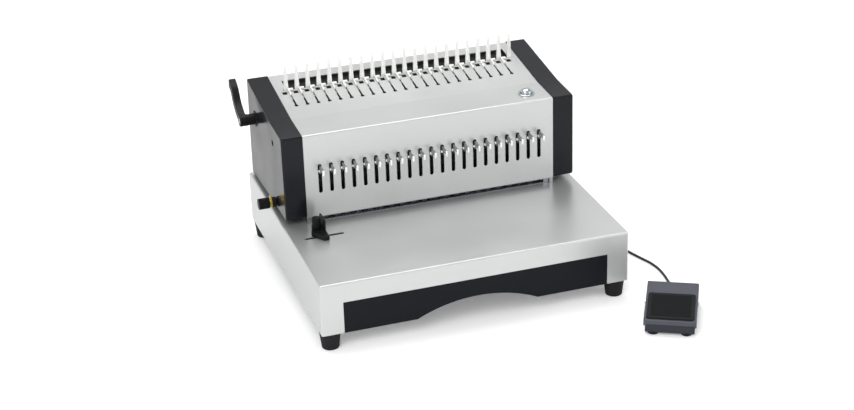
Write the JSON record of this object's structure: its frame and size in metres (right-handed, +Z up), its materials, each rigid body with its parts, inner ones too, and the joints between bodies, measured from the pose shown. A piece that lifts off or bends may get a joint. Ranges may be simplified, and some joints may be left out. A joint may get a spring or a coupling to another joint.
{
  "type": "comb binding machine",
  "caption": "Electric desktop comb binding machine with upright punch slots, release pulls, comb opener with fingers and hooks, chip drawer and a corded foot pedal.",
  "frame": {"origin": "under the middle of the box round the machine and its pedal, cord left out, on the table", "axes": "+X to the machine's right, +Y to its back, +Z up"},
  "size_m": [0.4784, 0.5096, 0.2478],
  "materials": {
    "base_sheet": "satin silver paint on folded sheet steel",
    "cover_sheet": "satin silver paint on folded sheet steel",
    "zinc_sheet": "plain zinc plated sheet",
    "drawer_plastic": "blue-black moulded plastic, satin",
    "cap_plastic": "black moulded plastic, semi gloss",
    "frame_steel": "plain plated steel",
    "tool_steel": "ground tool steel",
    "motor_housing": "dark painted motor and gearbox housing",
    "circuit_board": "green laminate with dark components",
    "inlet_plastic": "black moulded plastic, fine grain",
    "brass_collar": "turned brass",
    "knob_plastic": "black ribbed plastic",
    "bright_steel": "bright nickel plated steel",
    "channel_sheet": "black coated sheet",
    "hook_steel": "yellow zinc plated plate with bright hooks",
    "handle_plastic": "black painted lever, satin",
    "chrome_ring": "polished chrome",
    "guide_plastic": "black moulded plastic",
    "foot_rubber": "black rubber",
    "pedal_paint": "dark grey paint on folded sheet steel, satin",
    "tread_rubber": "black rubber with a fine ribbed grain",
    "zinc_bolt": "zinc plated",
    "spring_wire": "bright spring wire",
    "cord_jacket": "black cord jacket, satin",
    "pull_steel": "bright plated steel"
  },
  "bodies": {
    "root": {"base_shell": "base_sheet", "bottom_pan": "zinc_sheet", "front_left_foot": "foot_rubber", "front_right_foot": "foot_rubber", "rear_left_foot": "foot_rubber", "rear_right_foot": "foot_rubber", "housing_cover": "cover_sheet", "left_end_cap": "cap_plastic", "right_end_cap": "cap_plastic", "inner_frame": "frame_steel", "die_set": "tool_steel", "gear_motor": "motor_housing", "control_board": "circuit_board", "power_inlet": "inlet_plastic", "finger_plate": "bright_steel", "recess_channel": "channel_sheet", "button_bezel": "chrome_ring", "cord_gland": "foot_rubber", "pedal_base": "pedal_paint", "pedal_pin": "zinc_bolt", "pedal_spring": "spring_wire", "cord_lead": "cord_jacket", "cord_coil": "cord_jacket", "cord_tail": "cord_jacket"},
    "ram": {"punch_ram": "tool_steel"},
    "crank": {"drive_crank": "tool_steel"},
    "rocker": {"power_rocker": "inlet_plastic"},
    "margin": {"margin_shaft": "brass_collar", "margin_knob": "knob_plastic"},
    "stop": {"depth_stop": "frame_steel"},
    "carriage": {"hook_carriage": "hook_steel"},
    "opener": {"opener_shaft": "frame_steel", "opener_handle": "handle_plastic"},
    "button": {"push_button": "chrome_ring"},
    "guide": {"edge_guide": "guide_plastic"},
    "clamp": {"guide_knob": "knob_plastic"},
    "drawer": {"chip_drawer": "drawer_plastic"},
    "pedal": {"pedal_plate": "pedal_paint", "pedal_tread": "tread_rubber"},
    "pull_01": {"release_pull_01": "pull_steel"},
    "pull_02": {"release_pull_02": "pull_steel"},
    "pull_03": {"release_pull_03": "pull_steel"},
    "pull_04": {"release_pull_04": "pull_steel"},
    "pull_05": {"release_pull_05": "pull_steel"},
    "pull_06": {"release_pull_06": "pull_steel"},
    "pull_07": {"release_pull_07": "pull_steel"},
    "pull_08": {"release_pull_08": "pull_steel"},
    "pull_09": {"release_pull_09": "pull_steel"},
    "pull_10": {"release_pull_10": "pull_steel"},
    "pull_11": {"release_pull_11": "pull_steel"},
    "pull_12": {"release_pull_12": "pull_steel"},
    "pull_13": {"release_pull_13": "pull_steel"},
    "pull_14": {"release_pull_14": "pull_steel"},
    "pull_15": {"release_pull_15": "pull_steel"},
    "pull_16": {"release_pull_16": "pull_steel"},
    "pull_17": {"release_pull_17": "pull_steel"},
    "pull_18": {"release_pull_18": "pull_steel"},
    "pull_19": {"release_pull_19": "pull_steel"},
    "pull_20": {"release_pull_20": "pull_steel"},
    "pull_21": {"release_pull_21": "pull_steel"}
  },
  "joints": [
    {"name": "drive_turn", "type": "hinge", "parent": "root", "child": "crank", "pos_m": [-0.02662, 0.11722, 0.15], "axis": [1, 0, 0], "range_deg": [0, 181.5]},
    {"name": "ram_slide", "type": "slide", "parent": "root", "child": "ram", "axis": [0, 0, -1], "range_m": [0, 0.02]},
    {"name": "opener_turn", "type": "hinge", "parent": "root", "child": "opener", "pos_m": [-0.02662, 0.18422, 0.1799], "axis": [1, 0, 0], "range_deg": [0, 100.5]},
    {"name": "hook_slide", "type": "slide", "parent": "root", "child": "carriage", "axis": [0, -0.9918, -0.1277], "range_m": [0, 0.027]},
    {"name": "margin_turn", "type": "hinge", "parent": "root", "child": "margin", "pos_m": [-0.02662, 0.09522, 0.103], "axis": [1, 0, 0], "range_deg": [0, 181.5]},
    {"name": "stop_slide", "type": "slide", "parent": "root", "child": "stop", "axis": [0, -1, 0], "range_m": [0, 0.003]},
    {"name": "drawer_slide", "type": "slide", "parent": "root", "child": "drawer", "axis": [0, -1, 0], "range_m": [0, 0.15]},
    {"name": "guide_slide", "type": "slide", "parent": "root", "child": "guide", "axis": [1, 0, 0], "range_m": [-0.0115, 0.023]},
    {"name": "clamp_turn", "type": "hinge", "parent": "guide", "child": "clamp", "pos_m": [-0.18442, 0.02322, 0.095], "axis": [0, 0, 1], "range_deg": [0, 180]},
    {"name": "button_press", "type": "slide", "parent": "root", "child": "button", "axis": [0, 0.0445, -0.999], "range_m": [0, 0.002], "stiffness_N_per_m": 400, "springref_m": -0.001},
    {"name": "rocker_tilt", "type": "hinge", "parent": "root", "child": "rocker", "pos_m": [-0.14662, 0.22912, 0.0655], "axis": [-1, 0, 0], "range_deg": [0, 14]},
    {"name": "pedal_press", "type": "hinge", "parent": "root", "child": "pedal", "pos_m": [0.19838, -0.17317, 0.014], "axis": [0.8817, -0.4718, 0], "range_deg": [0, 4], "stiffness_Nm_per_rad": 1.5, "springref_deg": -6.88},
    {"name": "pull_01_slide", "type": "slide", "parent": "ram", "child": "pull_01", "axis": [0, -1, 0], "range_m": [0, 0.006]},
    {"name": "pull_02_slide", "type": "slide", "parent": "ram", "child": "pull_02", "axis": [0, -1, 0], "range_m": [0, 0.006]},
    {"name": "pull_03_slide", "type": "slide", "parent": "ram", "child": "pull_03", "axis": [0, -1, 0], "range_m": [0, 0.006]},
    {"name": "pull_04_slide", "type": "slide", "parent": "ram", "child": "pull_04", "axis": [0, -1, 0], "range_m": [0, 0.006]},
    {"name": "pull_05_slide", "type": "slide", "parent": "ram", "child": "pull_05", "axis": [0, -1, 0], "range_m": [0, 0.006]},
    {"name": "pull_06_slide", "type": "slide", "parent": "ram", "child": "pull_06", "axis": [0, -1, 0], "range_m": [0, 0.006]},
    {"name": "pull_07_slide", "type": "slide", "parent": "ram", "child": "pull_07", "axis": [0, -1, 0], "range_m": [0, 0.006]},
    {"name": "pull_08_slide", "type": "slide", "parent": "ram", "child": "pull_08", "axis": [0, -1, 0], "range_m": [0, 0.006]},
    {"name": "pull_09_slide", "type": "slide", "parent": "ram", "child": "pull_09", "axis": [0, -1, 0], "range_m": [0, 0.006]},
    {"name": "pull_10_slide", "type": "slide", "parent": "ram", "child": "pull_10", "axis": [0, -1, 0], "range_m": [0, 0.006]},
    {"name": "pull_11_slide", "type": "slide", "parent": "ram", "child": "pull_11", "axis": [0, -1, 0], "range_m": [0, 0.006]},
    {"name": "pull_12_slide", "type": "slide", "parent": "ram", "child": "pull_12", "axis": [0, -1, 0], "range_m": [0, 0.006]},
    {"name": "pull_13_slide", "type": "slide", "parent": "ram", "child": "pull_13", "axis": [0, -1, 0], "range_m": [0, 0.006]},
    {"name": "pull_14_slide", "type": "slide", "parent": "ram", "child": "pull_14", "axis": [0, -1, 0], "range_m": [0, 0.006]},
    {"name": "pull_15_slide", "type": "slide", "parent": "ram", "child": "pull_15", "axis": [0, -1, 0], "range_m": [0, 0.006]},
    {"name": "pull_16_slide", "type": "slide", "parent": "ram", "child": "pull_16", "axis": [0, -1, 0], "range_m": [0, 0.006]},
    {"name": "pull_17_slide", "type": "slide", "parent": "ram", "child": "pull_17", "axis": [0, -1, 0], "range_m": [0, 0.006]},
    {"name": "pull_18_slide", "type": "slide", "parent": "ram", "child": "pull_18", "axis": [0, -1, 0], "range_m": [0, 0.006]},
    {"name": "pull_19_slide", "type": "slide", "parent": "ram", "child": "pull_19", "axis": [0, -1, 0], "range_m": [0, 0.006]},
    {"name": "pull_20_slide", "type": "slide", "parent": "ram", "child": "pull_20", "axis": [0, -1, 0], "range_m": [0, 0.006]},
    {"name": "pull_21_slide", "type": "slide", "parent": "ram", "child": "pull_21", "axis": [0, -1, 0], "range_m": [0, 0.006]}
  ],
  "couplings": [
    {"joint": "drive_turn", "follows": "ram_slide", "rad_per_m": 157.08},
    {"joint": "opener_turn", "follows": "hook_slide", "rad_per_m": 64.516},
    {"joint": "margin_turn", "follows": "stop_slide", "rad_per_m": 1047.2}
  ]
}
